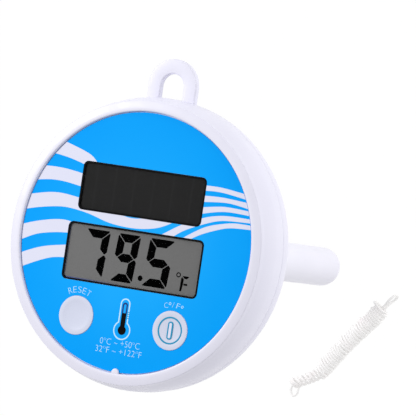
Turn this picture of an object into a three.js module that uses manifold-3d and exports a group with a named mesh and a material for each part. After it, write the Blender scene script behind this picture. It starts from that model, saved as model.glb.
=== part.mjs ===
// Floating solar pool thermometer, in millimetres, +Z up.
//
// The origin is on the body's axis at the waterline it floats at. The printed face looks along +Z,
// the tether eyelet points along +Y and the probe hangs down along -Z.

import * as THREE from "three";
import { mergeVertices } from "three/addons/utils/BufferGeometryUtils.js";
import Module from "manifold-3d";

const wasm = await Module();
wasm.setup();

// ---------------------------------------------------------------- driving dimensions

const SEGMENTS = 48;            // sides of the two big shells
const WALL = 2.2;               // shell wall thickness
const GAP = 0.3;                // clearance between neighbouring pieces
const SLIP = 0.1;               // clearance between stacked faces

// Face, measured upwards from the waterline
const LABEL_TOP = 16;
const LABEL_THICKNESS = 0.4;
const LABEL_R = 46.8;
const PANEL_TOP = LABEL_TOP - LABEL_THICKNESS - SLIP;
const PANEL_THICKNESS = 2;
const PANEL_BOTTOM = PANEL_TOP - PANEL_THICKNESS;

// Front bezel: a low rim round the label, a crease, and the side wall
const RIM_INNER_R = 47.1;
const RIM_TOP = LABEL_TOP + 0.9;
const RIM_FLAT_INNER_R = 47.6;
const RIM_FLAT_OUTER_R = 48.4;
const CREASE_R = 51.2;
const CREASE_Z = LABEL_TOP + 0.1;
const BODY_R = 53;
const BODY_WIDEST_Z = 8;
const BEZEL_BOTTOM = 2.6;

// Rear shell and its neck
const REAR_TOP = BEZEL_BOTTOM - GAP;
const SPIGOT_R = BODY_R - WALL - GAP;
const SPIGOT_TOP = 5.7;
const SEAL_GROOVE_TOP = SPIGOT_TOP - 0.9;
const SEAL_GROOVE_BOTTOM = SPIGOT_TOP - 2.5;
const BOWL_EDGE_R = 48;
const BOWL_EDGE_Z = -7.5;
const NECK_R = 9.7;
const NECK_TOP = -17.5;
const NECK_BOTTOM = -25;
const NECK_BORE_R = 7.9;

// Probe tube
const PROBE_TOP = -15;
const PROBE_R = 7.5;
const PROBE_TIP_R = 7.4;
const PROBE_BORE_R = 5.7;
const PROBE_TIP = -138.4;
const PROBE_DOME = 6;

// Windows in the face: width, height and centre height on the face
const SOLAR = { width: 50.7, height: 17.5, y: 17.8 };
const LCD = { width: 55.8, height: 20.8, y: -6.05 };
const WINDOW_CORNER_R = 2;
const FRAME_LINE = 0.6;         // visible width of the black frames
const FRAME_DEPTH = 0.8;
const WINDOW_LEDGE = 0.95;      // how far the pane's pocket oversails the opening below it

// Push buttons
const BUTTON_X = 19.45;
const BUTTON_Y = -28.9;
const BUTTON_R = 7.05;
const BUTTON_PROUD = 0.25;
const BUTTON_FLANGE_R = 8.3;
const BUTTON_STEM_R = 2;

// Tether eyelet
const EYELET_R = 9.6;
const EYELET_HOLE_R = 4.4;
const EYELET_CENTRE_Y = 57.8;
const EYELET_FRONT = 5.9;
const EYELET_THICKNESS = 2.6;

// Circuit board and what it carries
const BOARD_TOP = 5.6;
const BOARD_THICKNESS = 1.6;
const BOARD_BOTTOM = BOARD_TOP - BOARD_THICKNESS;
const BOARD_HALF_WIDTH = 36;
const BOARD_NORTH = 7.5;
const BOARD_SOUTH = -38.5;
const BOARD_CHAMFER = 13;
const SWITCH_BODY = 6;
const SWITCH_TOP = 9;
const BOARD_SCREWS = [[-32.2, 2], [32.2, 2], [-32.2, -20], [32.2, -20]];
const BRACKET_SCREWS = [[-30.5, SOLAR.y], [30.5, SOLAR.y]];
const SCREW_SHANK_R = 1.1;
const SCREW_HEAD_R = 2.4;
const BOSS_R = 2.8;
const BOSS_HOLE_R = 1.4;
const LEAD_R = 0.6;

// Loose hank of tether cord beside the probe's tip: a straight wound body, measured along its own
// axis, and a tail that bends aside from it
const HANK = { x: 14.6, y: -28.6, angle: 51, start: -18.5, end: 28.4, width: 8, thickness: 6.8 };
const HANK_TAIL = { along: -22.6, aside: 1.1, angle: -15, length: 16, width: 7.2 };

// ---------------------------------------------------------------- materials

const whitePlastic = () => new THREE.MeshStandardMaterial({ color: "#eeecf7", roughness: 0.35 });
const bluePrint = () => new THREE.MeshStandardMaterial({ color: "#1ca8fb", roughness: 0.4 });
const blackPlastic = () => new THREE.MeshStandardMaterial({ color: "#0c0c0e", roughness: 0.5 });
const darkCell = () => new THREE.MeshStandardMaterial({ color: "#2a2a2a", roughness: 0.3 });
const clearPane = () => new THREE.MeshStandardMaterial({ color: "#dfe6ea", roughness: 0.1 });
const greyGlass = () => new THREE.MeshStandardMaterial({ color: "#737373", roughness: 0.3 });
const silverFoil = () => new THREE.MeshStandardMaterial({ color: "#c8ccce", roughness: 0.4, metalness: 0.8 });
const greyRubber = () => new THREE.MeshStandardMaterial({ color: "#6c7074", roughness: 0.8 });
const greenBoard = () => new THREE.MeshStandardMaterial({ color: "#1f6b3f", roughness: 0.5 });
const blackEpoxy = () => new THREE.MeshStandardMaterial({ color: "#151515", roughness: 0.4 });
const steel = () => new THREE.MeshStandardMaterial({ color: "#a9abad", roughness: 0.35, metalness: 1 });
const redPvc = () => new THREE.MeshStandardMaterial({ color: "#b3261e", roughness: 0.5 });
const blackPvc = () => new THREE.MeshStandardMaterial({ color: "#18181a", roughness: 0.5 });
const whiteCord = () => new THREE.MeshStandardMaterial({ color: "#f2f2f2", roughness: 0.9 });

// ---------------------------------------------------------------- solids from geometry

// A geometry with shared vertices, no sliver triangles and its faces pointing out.
function closed(geometry) {
  geometry.deleteAttribute("normal");
  geometry.deleteAttribute("uv");
  const merged = mergeVertices(geometry, 1e-4);
  const point = merged.attributes.position;
  const corners = [new THREE.Vector3(), new THREE.Vector3(), new THREE.Vector3()];
  const kept = [];
  let volume = 0;
  for (let i = 0; i < merged.index.count; i += 3) {
    const triangle = [0, 1, 2].map((k) => merged.index.getX(i + k));
    if (new Set(triangle).size < 3) continue;
    kept.push(triangle);
    triangle.forEach((vertex, k) => corners[k].fromBufferAttribute(point, vertex));
    volume += corners[0].dot(corners[1].clone().cross(corners[2]));
  }
  const outward = volume < 0 ? kept.map(([a, b, c]) => [a, c, b]) : kept;
  const result = new THREE.BufferGeometry();
  result.setAttribute("position", point);
  result.setIndex(outward.flat());
  return result;
}

function toManifold(geometry) {
  const shape = closed(geometry);
  return new wasm.Manifold(new wasm.Mesh({
    numProp: 3,
    vertProperties: Float32Array.from(shape.attributes.position.array),
    triVerts: Uint32Array.from(shape.index.array),
  }));
}

function fromManifold(manifold) {
  const mesh = manifold.getMesh();
  const geometry = new THREE.BufferGeometry();
  geometry.setAttribute("position", new THREE.BufferAttribute(mesh.vertProperties, 3));
  geometry.setIndex(new THREE.BufferAttribute(mesh.triVerts, 1));
  return geometry;
}

function join(base, ...others) {
  const start = toManifold(base);
  return fromManifold(others.reduce((whole, other) => whole.add(toManifold(other)), start));
}

function cut(base, ...tools) {
  const start = toManifold(base);
  return fromManifold(tools.reduce((whole, tool) => whole.subtract(toManifold(tool)), start));
}

// A [radius, height] profile turned about the Z axis.
function turned(profile, segments = 24) {
  const points = profile.map(([radius, height]) => new THREE.Vector2(radius, height));
  return new THREE.LatheGeometry(points, segments).rotateX(Math.PI / 2);
}

function disc(radius, bottom, top, segments = 24) {
  return turned([[0, bottom], [radius, bottom], [radius, top], [0, top]], segments);
}

function ring(inner, outer, bottom, top, segments = 24) {
  const corners = [[inner, bottom], [outer, bottom], [outer, top], [inner, top]];
  return turned([...corners, corners[0]], segments);
}

function torus(radius, cordRadius, height, segments) {
  return new THREE.TorusGeometry(radius, cordRadius, 6, segments).translate(0, 0, height);
}

// A flat shape raised from one height to another.
function raised(shape, bottom, top, curveSegments = 6) {
  const settings = { depth: top - bottom, bevelEnabled: false, curveSegments };
  return new THREE.ExtrudeGeometry(shape, settings).translate(0, 0, bottom);
}

function block(width, height, bottom, top, x = 0, y = 0) {
  return new THREE.BoxGeometry(width, height, top - bottom).translate(x, y, (top + bottom) / 2);
}

function roundedRectangle(width, height, corner, x = 0, y = 0, Kind = THREE.Shape) {
  const [left, right] = [x - width / 2, x + width / 2];
  const [low, high] = [y - height / 2, y + height / 2];
  const path = new Kind();
  path.moveTo(left + corner, low);
  path.lineTo(right - corner, low);
  path.absarc(right - corner, low + corner, corner, -Math.PI / 2, 0);
  path.lineTo(right, high - corner);
  path.absarc(right - corner, high - corner, corner, 0, Math.PI / 2);
  path.lineTo(left + corner, high);
  path.absarc(left + corner, high - corner, corner, Math.PI / 2, Math.PI);
  path.lineTo(left, low + corner);
  path.absarc(left + corner, low + corner, corner, Math.PI, Math.PI * 1.5);
  return path;
}

function circle(radius, x = 0, y = 0, Kind = THREE.Path) {
  const path = new Kind();
  path.absarc(x, y, radius, 0, Math.PI * 2);
  return path;
}

// Points along a quadratic curve, without its first point.
function bend(start, control, end, steps) {
  const curve = new THREE.QuadraticBezierCurve(...[start, control, end].map((p) => new THREE.Vector2(...p)));
  return curve.getPoints(steps).slice(1).map((point) => [point.x, point.y]);
}

// ---------------------------------------------------------------- housing

function bezelShell() {
  const flatEdge = [RIM_FLAT_OUTER_R, RIM_TOP];
  const crease = [CREASE_R, CREASE_Z];
  const wallTop = [CREASE_R + 0.3, CREASE_Z - 1.5];
  const widest = [BODY_R, BODY_WIDEST_Z];
  return turned([
    [0, PANEL_TOP],
    [RIM_INNER_R, PANEL_TOP],
    [RIM_INNER_R + 0.1, RIM_TOP - 0.3],
    [RIM_FLAT_INNER_R, RIM_TOP],
    flatEdge,
    ...bend(flatEdge, [50.2, RIM_TOP - 0.3], crease, 3),
    wallTop,
    ...bend(wallTop, [BODY_R - 0.2, BODY_WIDEST_Z + 3], widest, 3),
    [BODY_R, BEZEL_BOTTOM + 1],
    [BODY_R - 0.2, BEZEL_BOTTOM],
    [BODY_R - WALL, BEZEL_BOTTOM],
    [BODY_R - WALL, 8],
    ...bend([BODY_R - WALL, 8], [BODY_R - WALL, PANEL_BOTTOM - 1], [47.4, PANEL_BOTTOM], 2),
    [0, PANEL_BOTTOM],
  ], SEGMENTS);
}

// The tether eyelet: a round-topped loop whose legs run into the side wall.
function eyeletLoop() {
  const legEnd = BODY_R - 1.7;
  const loop = new THREE.Shape();
  loop.moveTo(EYELET_R, legEnd);
  loop.lineTo(EYELET_R, EYELET_CENTRE_Y);
  loop.absarc(0, EYELET_CENTRE_Y, EYELET_R, 0, Math.PI);
  loop.lineTo(-EYELET_R, legEnd);
  loop.lineTo(-EYELET_HOLE_R, legEnd);
  loop.lineTo(-EYELET_HOLE_R, EYELET_CENTRE_Y);
  loop.absarc(0, EYELET_CENTRE_Y, EYELET_HOLE_R, Math.PI, 0, true);
  loop.lineTo(EYELET_HOLE_R, legEnd);
  return raised(loop, EYELET_FRONT - EYELET_THICKNESS, EYELET_FRONT, 10);
}

// The half-round key on the rim that the printed label is lined up with.
function rimKey() {
  return disc(1.5, LABEL_TOP + SLIP, RIM_TOP - 0.2, 16).translate(0, -RIM_INNER_R + 0.2, 0);
}

// An opening right through the panel, with a wider pocket for the pane at its top.
function windowCut(window) {
  const pocketFloor = LABEL_TOP - FRAME_DEPTH - SLIP;
  const pocketWidth = window.width + GAP;
  const pocketHeight = window.height + GAP;
  const pocket = roundedRectangle(pocketWidth, pocketHeight, WINDOW_CORNER_R, 0, window.y);
  const opening = roundedRectangle(
    pocketWidth - 2 * WINDOW_LEDGE, pocketHeight - 2 * WINDOW_LEDGE, 1.2, 0, window.y);
  return [raised(pocket, pocketFloor, LABEL_TOP + 1, 4), raised(opening, PANEL_BOTTOM - 1, LABEL_TOP, 3)];
}

function boss([x, y], bottom) {
  return disc(BOSS_R, bottom, PANEL_BOTTOM + 0.5, 14).translate(x, y, 0);
}

function bossHole([x, y], bottom) {
  return disc(BOSS_HOLE_R, bottom - 1, PANEL_BOTTOM - 0.5, 12).translate(x, y, 0);
}

const BRACKET_TOP = 11.4;
const BRACKET_BOTTOM = 9.9;

function frontBezel() {
  const buttonHoles = [-BUTTON_X, BUTTON_X].map(
    (x) => disc(BUTTON_R + GAP, PANEL_BOTTOM - 1, LABEL_TOP, 24).translate(x, BUTTON_Y, 0));
  const boardBosses = BOARD_SCREWS.map((place) => boss(place, BOARD_TOP + SLIP));
  const bracketBosses = BRACKET_SCREWS.map((place) => boss(place, BRACKET_TOP + SLIP));
  const solid = join(bezelShell(), eyeletLoop(), rimKey(), ...boardBosses, ...bracketBosses);
  return cut(
    solid,
    ...windowCut(SOLAR),
    ...windowCut(LCD),
    ...buttonHoles,
    ...BOARD_SCREWS.map((place) => bossHole(place, BOARD_TOP)),
    ...BRACKET_SCREWS.map((place) => bossHole(place, BRACKET_TOP)),
  );
}

function rearShell() {
  const rim = [BODY_R - 0.2, REAR_TOP];
  const bowlEdge = [BOWL_EDGE_R, BOWL_EDGE_Z];
  const neckStart = [NECK_R, NECK_TOP];
  const innerNeck = [NECK_BORE_R, -13];
  const innerEdge = [BOWL_EDGE_R - 1.6, BOWL_EDGE_Z + 1.8];
  const spigotFoot = [SPIGOT_R - 2.2, REAR_TOP - 1];
  return turned([
    [SPIGOT_R, SPIGOT_TOP],
    [SPIGOT_R, SEAL_GROOVE_TOP],
    [SPIGOT_R - 1.4, SEAL_GROOVE_TOP],
    [SPIGOT_R - 1.4, SEAL_GROOVE_BOTTOM],
    [SPIGOT_R, SEAL_GROOVE_BOTTOM],
    [SPIGOT_R, REAR_TOP],
    rim,
    ...bend(rim, [BODY_R - 0.2, -4.6], bowlEdge, 4),
    ...bend(bowlEdge, [41, -12.4], [24, -14.6], 4),
    ...bend([24, -14.6], [11, -16], neckStart, 3),
    [NECK_R, NECK_BOTTOM],
    [NECK_BORE_R, NECK_BOTTOM],
    innerNeck,
    ...bend(innerNeck, [40.5, -10.6], innerEdge, 4),
    ...bend(innerEdge, [SPIGOT_R - 2.2, -3.4], spigotFoot, 2),
    [SPIGOT_R - 2.2, SPIGOT_TOP],
    [SPIGOT_R, SPIGOT_TOP],
  ], SEGMENTS);
}

const PROBE_GROOVE_TOP = -19.4;
const PROBE_GROOVE_R = 6.95;
const PROBE_SEAL_CORD_R = 0.4;
const PROBE_FLOOR = PROBE_TIP + 1.6;

function probeTube() {
  const domeStart = [PROBE_TIP_R, PROBE_TIP + PROBE_DOME];
  const floorStart = [PROBE_BORE_R - 0.4, PROBE_FLOOR + PROBE_DOME - 1];
  const grooveBottom = PROBE_GROOVE_TOP - 2 * PROBE_SEAL_CORD_R - 0.4;
  return turned([
    [PROBE_BORE_R, PROBE_TOP],
    [PROBE_R, PROBE_TOP],
    [PROBE_R, PROBE_GROOVE_TOP],
    [PROBE_GROOVE_R, PROBE_GROOVE_TOP],
    [PROBE_GROOVE_R, grooveBottom],
    [PROBE_R, grooveBottom],
    domeStart,
    ...bend(domeStart, [PROBE_TIP_R, PROBE_TIP + 1.6], [4.2, PROBE_TIP + 0.9], 3),
    ...bend([4.2, PROBE_TIP + 0.9], [2.6, PROBE_TIP], [0, PROBE_TIP], 2),
    [0, PROBE_FLOOR],
    ...bend([0, PROBE_FLOOR], [floorStart[0], PROBE_FLOOR], floorStart, 3),
    [PROBE_BORE_R, PROBE_TOP],
  ], 24);
}

const shellSeal = () => torus(
  SPIGOT_R - 0.62, 0.7, (SEAL_GROOVE_TOP + SEAL_GROOVE_BOTTOM) / 2, SEGMENTS);
const probeSeal = () => torus(
  PROBE_GROOVE_R + PROBE_SEAL_CORD_R + 0.08, PROBE_SEAL_CORD_R,
  PROBE_GROOVE_TOP - PROBE_SEAL_CORD_R - 0.2, 24);

// ---------------------------------------------------------------- face

function faceLabel() {
  const sheet = disc(LABEL_R, LABEL_TOP - LABEL_THICKNESS, LABEL_TOP, SEGMENTS);
  const windows = [SOLAR, LCD].map((window) => raised(
    roundedRectangle(window.width + GAP, window.height + GAP, WINDOW_CORNER_R, 0, window.y),
    PANEL_TOP, LABEL_TOP + 1, 3));
  const buttons = [-BUTTON_X, BUTTON_X].map(
    (x) => disc(BUTTON_R + GAP, PANEL_TOP, LABEL_TOP + 1, 24).translate(x, BUTTON_Y, 0));
  return cut(sheet, ...windows, ...buttons);
}

// The thin black frame around a window pane.
function windowFrame(window) {
  const outline = roundedRectangle(window.width, window.height, WINDOW_CORNER_R, 0, window.y);
  outline.holes.push(roundedRectangle(
    window.width - 2 * FRAME_LINE, window.height - 2 * FRAME_LINE,
    WINDOW_CORNER_R - FRAME_LINE, 0, window.y, THREE.Path));
  return raised(outline, LABEL_TOP - FRAME_DEPTH, LABEL_TOP + 0.05, 3);
}

function windowPane(window) {
  const inset = 2 * (FRAME_LINE + SLIP);
  const outline = roundedRectangle(
    window.width - inset, window.height - inset, WINDOW_CORNER_R - FRAME_LINE, 0, window.y);
  return raised(outline, LABEL_TOP - FRAME_DEPTH, LABEL_TOP - 0.15, 3);
}

const CELL_TOP = LABEL_TOP - FRAME_DEPTH - GAP;
const CELL_MARGIN = 2.6;        // how much smaller the cell and the glass are than their frames

function solarCell() {
  return block(SOLAR.width - CELL_MARGIN, SOLAR.height - CELL_MARGIN, CELL_TOP - 1.2, CELL_TOP, 0, SOLAR.y);
}

function lcdGlass() {
  return block(LCD.width - CELL_MARGIN, LCD.height - CELL_MARGIN, CELL_TOP - 2, CELL_TOP, 0, LCD.y);
}

// ---------------------------------------------------------------- display stack and solar mounting

const LCD_SEAT = CELL_TOP - 2 - SLIP;
const CARRIER_WIDTH = 57;
const CARRIER_HEIGHT = 22;
const ZEBRA_Y = 7.5;
const ZEBRA_WIDTH = 50;
const ZEBRA_THICKNESS = 2;

function lcdCarrier() {
  const body = block(CARRIER_WIDTH, CARRIER_HEIGHT, BOARD_TOP + SLIP, PANEL_BOTTOM - GAP, 0, LCD.y);
  const seat = block(
    LCD.width - CELL_MARGIN + GAP, LCD.height - CELL_MARGIN + GAP, LCD_SEAT, PANEL_BOTTOM, 0, LCD.y);
  const middle = block(46, 9, 0, PANEL_BOTTOM, 0, LCD.y);
  const slots = [-ZEBRA_Y, ZEBRA_Y].map(
    (y) => block(ZEBRA_WIDTH + GAP, ZEBRA_THICKNESS + GAP, 0, PANEL_BOTTOM, 0, LCD.y + y));
  return cut(body, seat, middle, ...slots);
}

function zebraStrip(side) {
  return block(
    ZEBRA_WIDTH, ZEBRA_THICKNESS, BOARD_TOP + SLIP, LCD_SEAT, 0, LCD.y + side * ZEBRA_Y);
}

const lcdReflector = () => block(45.4, 8.4, LCD_SEAT - 0.3, LCD_SEAT, 0, LCD.y);
const solarPad = () => block(
  44, 10, BRACKET_TOP + SLIP, CELL_TOP - 1.2 - SLIP, 0, SOLAR.y);

function solarBracket() {
  const plate = roundedRectangle(67, 11, 3, 0, SOLAR.y);
  for (const [x, y] of BRACKET_SCREWS) plate.holes.push(circle(SCREW_SHANK_R + GAP, x, y));
  return raised(plate, BRACKET_BOTTOM, BRACKET_TOP, 4);
}

// ---------------------------------------------------------------- circuit board

const SOLAR_LEAD_X = 8;

function mainBoard() {
  const outline = new THREE.Shape();
  outline.moveTo(-BOARD_HALF_WIDTH, BOARD_NORTH);
  outline.lineTo(-BOARD_HALF_WIDTH, BOARD_SOUTH + BOARD_CHAMFER);
  outline.lineTo(-BOARD_HALF_WIDTH + BOARD_CHAMFER, BOARD_SOUTH);
  outline.lineTo(BOARD_HALF_WIDTH - BOARD_CHAMFER, BOARD_SOUTH);
  outline.lineTo(BOARD_HALF_WIDTH, BOARD_SOUTH + BOARD_CHAMFER);
  outline.lineTo(BOARD_HALF_WIDTH, BOARD_NORTH);
  for (const [x, y] of BOARD_SCREWS) outline.holes.push(circle(SCREW_SHANK_R + GAP, x, y));
  return raised(outline, BOARD_BOTTOM, BOARD_TOP, 4);
}

// The blob of black epoxy over the bonded chip, under the board.
function chipBlob() {
  const top = BOARD_BOTTOM - SLIP;
  return turned([[0, top], [6, top], [5.4, top - 0.9], [3.4, top - 1.7], [0, top - 2]], 20)
    .translate(-15, -8, 0);
}

const cellHolder = () => cut(
  block(16, 16, -1.4, BOARD_BOTTOM - SLIP, 14, -28),
  disc(6.1, -2, 3, 24).translate(14, -28, 0));
const backupCell = () => disc(5.8, -0.9, 2.7, 24).translate(14, -28, 0);
const storageCapacitor = () => disc(4, -6, BOARD_BOTTOM - SLIP, 20).translate(19, -6, 0);
const clockCrystal = () => disc(1, -3, 3, 12).rotateY(Math.PI / 2).translate(-15, -22, 2.8);

function screw(place, headTop, shankTop) {
  const headBottom = headTop - 1.5;
  return turned([
    [0, headBottom],
    [SCREW_HEAD_R - 0.5, headBottom],
    [SCREW_HEAD_R, headTop],
    [SCREW_SHANK_R, headTop],
    [SCREW_SHANK_R, shankTop - 0.8],
    [0, shankTop],
  ], 12).translate(place[0], place[1], 0);
}

// ---------------------------------------------------------------- push buttons

const BUTTON_TOP = LABEL_TOP + BUTTON_PROUD;
const FLANGE_TOP = PANEL_BOTTOM - GAP;
const FLANGE_BOTTOM = FLANGE_TOP - 1;
const PLUNGER_TOP = SWITCH_TOP + 0.9;
const STEM_BOTTOM = PLUNGER_TOP + SLIP;

function buttonCap(x) {
  const edge = 0.35;
  return turned([
    [0, STEM_BOTTOM],
    [BUTTON_STEM_R, STEM_BOTTOM],
    [BUTTON_STEM_R, FLANGE_BOTTOM],
    [BUTTON_FLANGE_R, FLANGE_BOTTOM],
    [BUTTON_FLANGE_R, FLANGE_TOP],
    [BUTTON_R, FLANGE_TOP],
    [BUTTON_R, BUTTON_TOP - edge],
    [BUTTON_R - edge, BUTTON_TOP],
    [BUTTON_R - 2, BUTTON_TOP],
    [BUTTON_R - 4.2, BUTTON_TOP - 0.2],
    [0, BUTTON_TOP - 0.3],
  ], 24).translate(x, BUTTON_Y, 0);
}

// The rubber diaphragm that keeps water out below a button.
function buttonSeal(x) {
  const floor = 10.6;
  const web = 0.6;
  const inner = BUTTON_STEM_R + GAP;
  const cup = BUTTON_FLANGE_R + GAP;
  const profile = [
    [inner, floor], [cup + 1, floor], [cup + 1, FLANGE_TOP + SLIP], [cup, FLANGE_TOP + SLIP],
    [cup, floor + web], [inner, floor + web],
  ];
  return turned([...profile, profile[0]], 20).translate(x, BUTTON_Y, 0);
}

function switchBody(x) {
  const box = block(SWITCH_BODY, SWITCH_BODY, BOARD_TOP + SLIP, SWITCH_TOP, x, BUTTON_Y);
  return cut(box, disc(1.9, SWITCH_TOP - 1.6, SWITCH_TOP + 1, 16).translate(x, BUTTON_Y, 0));
}

const switchPlunger = (x) => disc(1.6, SWITCH_TOP - 0.9, PLUNGER_TOP, 16).translate(x, BUTTON_Y, 0);

// ---------------------------------------------------------------- probe contents

const BALLAST_TOP = -96;
const BALLAST_LENGTH = 20;
const THERMISTOR_Z = PROBE_TIP + 4.8;

const ballastWeight = () => ring(2.6, 5, BALLAST_TOP - BALLAST_LENGTH, BALLAST_TOP, 20);

// The plug of heat-conducting epoxy that holds the thermistor against the probe's end.
function sensorPlug() {
  const floor = PROBE_FLOOR + GAP;
  const top = PROBE_TIP + 13;
  return turned([
    [0, floor], [3, floor + 0.4], [4.6, floor + 2.6], [4.9, floor + 5], [4.9, top], [2, top],
    [2, floor + 1], [0, floor + 1],
  ], 16);
}

function thermistorBead() {
  const half = 1.8;
  return turned([
    [0, THERMISTOR_Z - half], [0.9, THERMISTOR_Z - 1.3], [1.3, THERMISTOR_Z],
    [0.9, THERMISTOR_Z + 1.3], [0, THERMISTOR_Z + half],
  ], 12);
}

// A round wire along a smooth curve through the given points.
function wire(points, steps) {
  const path = new THREE.CatmullRomCurve3(points.map((point) => new THREE.Vector3(...point)));
  const section = circle(LEAD_R, 0, 0, THREE.Shape);
  return new THREE.ExtrudeGeometry(section, { steps, extrudePath: path, curveSegments: 4 });
}

function sensorLead(side) {
  const beside = side * 0.8;
  const top = BOARD_BOTTOM - SLIP;
  return wire([
    [side * 3, 1, top], [side * 3, 1, -4], [side * 1.4, 0.4, -14], [beside, 0, -30],
    [beside, 0, -70], [beside, 0, -110], [beside, 0, THERMISTOR_Z + 2.4],
  ], 14);
}

// A lead from the solar cell's back, past the bracket, to the board's upper edge.
function solarLead(side) {
  const x = side * 25.5;
  const start = SOLAR.y - 6.8;
  return wire([
    [side * 23.4, start, CELL_TOP - 1.7], [side * 24.4, start, CELL_TOP - 3],
    [x, start - 0.6, 9], [x + side * 3.4, BOARD_NORTH - 1.4, BOARD_TOP + 0.5],
  ], 8);
}

// ---------------------------------------------------------------- tether cord

// The loose tether cord, wound into a slim hank that lies level with the probe's tip.
function tetherHank() {
  const roundEnded = (length, width, along) => raised(
    roundedRectangle(length, width, width / 2, along), PROBE_TIP, PROBE_TIP + HANK.thickness, 6);
  const body = roundEnded(HANK.end - HANK.start, HANK.width, (HANK.start + HANK.end) / 2);
  const tail = roundEnded(HANK_TAIL.length, HANK_TAIL.width, 0)
    .rotateZ(THREE.MathUtils.degToRad(HANK_TAIL.angle))
    .translate(HANK_TAIL.along, HANK_TAIL.aside, 0);
  return join(body, tail)
    .rotateZ(THREE.MathUtils.degToRad(HANK.angle))
    .translate(HANK.x, HANK.y, 0);
}

// ---------------------------------------------------------------- assembly

function piece(name, geometry, material) {
  const mesh = new THREE.Mesh(closed(geometry), material);
  mesh.name = name;
  return mesh;
}

function group(...pieces) {
  const parent = new THREE.Group();
  parent.add(...pieces);
  return parent;
}

const housing = group(
  piece("front_bezel", frontBezel(), whitePlastic()),
  piece("rear_shell", rearShell(), whitePlastic()),
  piece("shell_seal", shellSeal(), greyRubber()),
  piece("probe_tube", probeTube(), whitePlastic()),
  piece("probe_seal", probeSeal(), greyRubber()),
);

const face = group(
  piece("face_label", faceLabel(), bluePrint()),
  piece("solar_frame", windowFrame(SOLAR), blackPlastic()),
  piece("solar_window", windowPane(SOLAR), clearPane()),
  piece("solar_cell", solarCell(), darkCell()),
  piece("lcd_frame", windowFrame(LCD), blackPlastic()),
  piece("lcd_window", windowPane(LCD), clearPane()),
  piece("lcd_glass", lcdGlass(), greyGlass()),
);

const displayStack = group(
  piece("lcd_reflector", lcdReflector(), silverFoil()),
  piece("lcd_carrier", lcdCarrier(), whitePlastic()),
  piece("zebra_strip_upper", zebraStrip(1), greyRubber()),
  piece("zebra_strip_lower", zebraStrip(-1), greyRubber()),
  piece("solar_pad", solarPad(), greyRubber()),
  piece("solar_bracket", solarBracket(), blackPlastic()),
);

const circuit = group(
  piece("main_board", mainBoard(), greenBoard()),
  piece("chip_blob", chipBlob(), blackEpoxy()),
  piece("cell_holder", cellHolder(), blackPlastic()),
  piece("backup_cell", backupCell(), steel()),
  piece("storage_capacitor", storageCapacitor(), blackPlastic()),
  piece("clock_crystal", clockCrystal(), steel()),
);

const buttonSets = [["reset", -BUTTON_X], ["unit", BUTTON_X]].map(([name, x]) => group(
  piece(`${name}_button`, buttonCap(x), whitePlastic()),
  piece(`${name}_plunger`, switchPlunger(x), blackPlastic()),
  piece(`${name}_switch`, switchBody(x), blackPlastic()),
  piece(`${name}_seal`, buttonSeal(x), greyRubber()),
));

const boardScrews = BOARD_SCREWS.map((place, index) => piece(
  `board_screw_${index + 1}`, screw(place, BOARD_BOTTOM - SLIP, PANEL_BOTTOM - 2), steel()));
const bracketScrews = BRACKET_SCREWS.map((place, index) => piece(
  `bracket_screw_${index + 1}`, screw(place, BRACKET_BOTTOM - SLIP, PANEL_BOTTOM - 1), steel()));

const probeContents = group(
  piece("ballast_weight", ballastWeight(), steel()),
  piece("sensor_plug", sensorPlug(), blackEpoxy()),
  piece("thermistor", thermistorBead(), blackEpoxy()),
  piece("sensor_lead_red", sensorLead(-1), redPvc()),
  piece("sensor_lead_black", sensorLead(1), blackPvc()),
);

const solarLeads = group(
  piece("solar_lead_red", solarLead(-1), redPvc()),
  piece("solar_lead_black", solarLead(1), blackPvc()),
);

const thermometer = group(
  housing, face, displayStack, circuit, ...buttonSets, ...boardScrews, ...bracketScrews,
  probeContents, solarLeads, piece("tether_hank", tetherHank(), whiteCord()),
);

export default thermometer;
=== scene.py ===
"""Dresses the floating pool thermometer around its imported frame.

The frame is in metres. Shapes here are worked out in millimetres in the same axes and scaled once:
the printed face looks along +Z, the tether eyelet points along +Y and the probe hangs along -Z.
"""

import math

import bmesh
import bpy
from mathutils import Matrix, Vector
from mathutils.geometry import tessellate_polygon


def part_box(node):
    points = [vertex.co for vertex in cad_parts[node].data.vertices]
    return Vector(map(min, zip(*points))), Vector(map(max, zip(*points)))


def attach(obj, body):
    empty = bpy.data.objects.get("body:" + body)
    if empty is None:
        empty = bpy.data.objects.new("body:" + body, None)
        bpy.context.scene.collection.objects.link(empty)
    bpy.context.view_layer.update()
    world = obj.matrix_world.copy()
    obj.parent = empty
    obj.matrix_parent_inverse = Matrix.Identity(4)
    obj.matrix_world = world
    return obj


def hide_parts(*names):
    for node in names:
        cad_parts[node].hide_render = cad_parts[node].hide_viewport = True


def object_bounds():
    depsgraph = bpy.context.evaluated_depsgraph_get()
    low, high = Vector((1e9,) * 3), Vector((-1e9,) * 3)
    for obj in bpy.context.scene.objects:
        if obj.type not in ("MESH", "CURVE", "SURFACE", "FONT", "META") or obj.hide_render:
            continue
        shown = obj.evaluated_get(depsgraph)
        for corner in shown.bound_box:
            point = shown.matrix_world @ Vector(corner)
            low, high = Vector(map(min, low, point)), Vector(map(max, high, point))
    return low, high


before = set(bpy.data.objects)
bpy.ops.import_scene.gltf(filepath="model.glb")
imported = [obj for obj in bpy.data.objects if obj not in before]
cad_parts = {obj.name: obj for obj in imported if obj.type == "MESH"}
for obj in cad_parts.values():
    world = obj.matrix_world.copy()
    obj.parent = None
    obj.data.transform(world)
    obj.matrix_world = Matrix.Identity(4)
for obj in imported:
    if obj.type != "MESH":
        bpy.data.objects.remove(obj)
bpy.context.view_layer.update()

MM = 0.001


def node_box(node):
    """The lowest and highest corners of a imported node, in millimetres."""
    low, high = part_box(node)
    return low / MM, high / MM


# -------------------- sizes, from the frame

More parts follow.
